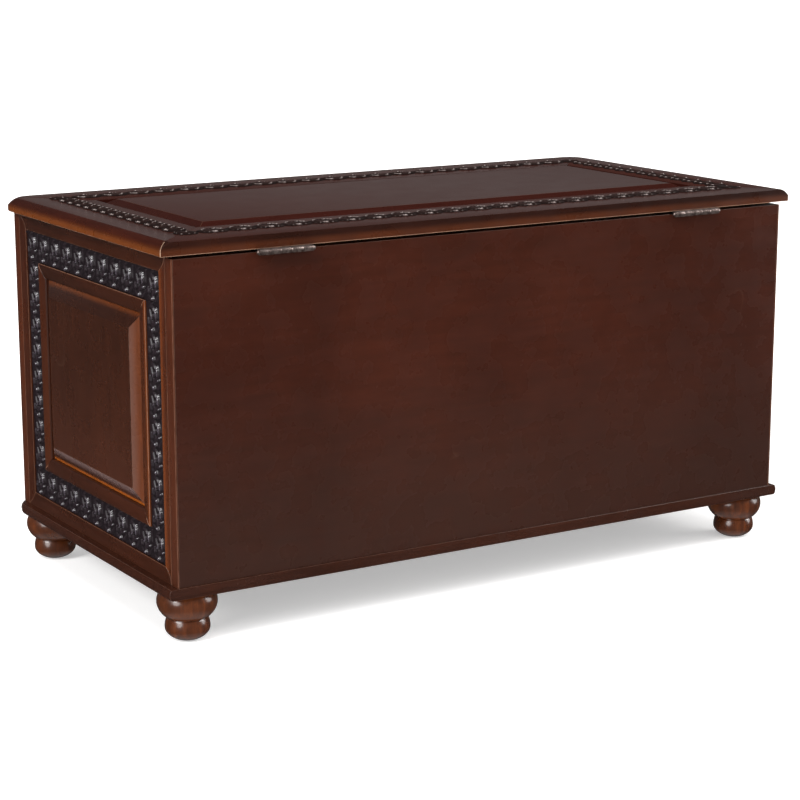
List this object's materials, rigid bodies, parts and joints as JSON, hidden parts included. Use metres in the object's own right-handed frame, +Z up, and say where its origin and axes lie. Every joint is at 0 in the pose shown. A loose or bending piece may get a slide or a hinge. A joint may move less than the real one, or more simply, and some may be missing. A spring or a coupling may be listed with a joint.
{
  "type": "wooden storage chest",
  "caption": "Rectangular wooden storage chest with carved borders, raised panels, turned ball feet, a moulded base and a hinged framed lid on folding stays.",
  "frame": {"origin": "on the floor under the middle of the chest's plan, measured from the front edge of the lid to the back of the hinge barrels", "axes": "+X along the length towards the right end as seen from the front, -Y towards the front, +Y towards the hinges, +Z up"},
  "size_m": [1, 0.5272, 0.5243],
  "materials": {
    "frame_wood": "dark stained, satin varnish",
    "moulding_wood": "dark stained, rubbed lighter on the edges",
    "panel_wood": "dark stained, satin varnish",
    "carved_wood": "near-black stain in the carved ground, glossy tops",
    "foot_wood": "turned, glossy varnish",
    "inside_wood": "unvarnished secondary timber",
    "cedar": "planed, unvarnished",
    "antique_metal": "antiqued pewter",
    "fixing_steel": "plain",
    "rubber": "matt"
  },
  "bodies": {
    "case": {"base_plate": "frame_wood", "bottom_lining": "cedar", "front_left_foot": "foot_wood", "front_right_foot": "foot_wood", "rear_left_foot": "foot_wood", "rear_right_foot": "foot_wood", "foot_bolts": "fixing_steel", "foot_glides": "rubber", "left_end_board": "inside_wood", "right_end_board": "inside_wood", "front_board": "inside_wood", "back_panel": "frame_wood", "back_top_rail": "inside_wood", "front_corner_posts": "frame_wood", "rear_corner_posts": "frame_wood", "glue_blocks": "inside_wood", "left_outer_moulding": "moulding_wood", "left_carving": "carved_wood", "left_inner_moulding": "moulding_wood", "left_raised_panel": "panel_wood", "right_outer_moulding": "moulding_wood", "right_carving": "carved_wood", "right_inner_moulding": "moulding_wood", "right_raised_panel": "panel_wood", "front_outer_moulding": "moulding_wood", "front_carving": "carved_wood", "front_inner_moulding": "moulding_wood", "front_raised_panel": "panel_wood", "left_hinge_case_leaf": "antique_metal", "left_hinge_pin": "antique_metal", "right_hinge_case_leaf": "antique_metal", "right_hinge_pin": "antique_metal", "hinge_case_screws": "fixing_steel", "left_stay_case_bracket": "antique_metal", "left_stay_case_rivet": "fixing_steel", "right_stay_case_bracket": "antique_metal", "right_stay_case_rivet": "fixing_steel", "stay_case_screws": "fixing_steel"},
    "lid": {"left_hinge_lid_leaf": "antique_metal", "right_hinge_lid_leaf": "antique_metal", "hinge_lid_screws": "fixing_steel", "left_stay_lid_rivet": "fixing_steel", "left_stay_lid_bracket": "antique_metal", "right_stay_lid_rivet": "fixing_steel", "right_stay_lid_bracket": "antique_metal", "stay_lid_screws": "fixing_steel", "lid_back_rail": "frame_wood", "lid_front_rail": "frame_wood", "lid_left_rail": "frame_wood", "lid_right_rail": "frame_wood", "lid_panel": "panel_wood", "lid_carving": "carved_wood", "lid_cleats": "inside_wood", "lid_bumpers": "rubber"},
    "left_stay_lower": {"left_stay_lower_arm": "antique_metal", "left_stay_elbow_rivet": "fixing_steel"},
    "left_stay_upper": {"left_stay_upper_arm": "antique_metal"},
    "right_stay_lower": {"right_stay_lower_arm": "antique_metal", "right_stay_elbow_rivet": "fixing_steel"},
    "right_stay_upper": {"right_stay_upper_arm": "antique_metal"}
  },
  "joints": [
    {"name": "lid_hinge", "type": "hinge", "parent": "case", "child": "lid", "pos_m": [0, 0.2596, 0.4996], "axis": [-1, 0, 0], "range_deg": [0, 95]},
    {"name": "left_stay_lower", "type": "hinge", "parent": "case", "child": "left_stay_lower", "pos_m": [-0.4558, 0.2026, 0.3596], "axis": [-1, 0, 0], "range_deg": [0, 95]},
    {"name": "left_stay_upper", "type": "hinge", "parent": "lid", "child": "left_stay_upper", "pos_m": [-0.4524, 0.1298, 0.4916], "axis": [-1, 0, 0], "range_deg": [-95, 0]},
    {"name": "right_stay_lower", "type": "hinge", "parent": "case", "child": "right_stay_lower", "pos_m": [0.4558, 0.2026, 0.3596], "axis": [-1, 0, 0], "range_deg": [0, 95]},
    {"name": "right_stay_upper", "type": "hinge", "parent": "lid", "child": "right_stay_upper", "pos_m": [0.4524, 0.1298, 0.4916], "axis": [-1, 0, 0], "range_deg": [-95, 0]}
  ],
  "couplings": [
    {"joint": "left_stay_lower", "follows": "lid_hinge", "ratio": 1},
    {"joint": "left_stay_upper", "follows": "lid_hinge", "ratio": -1},
    {"joint": "right_stay_lower", "follows": "lid_hinge", "ratio": 1},
    {"joint": "right_stay_upper", "follows": "lid_hinge", "ratio": -1}
  ]
}
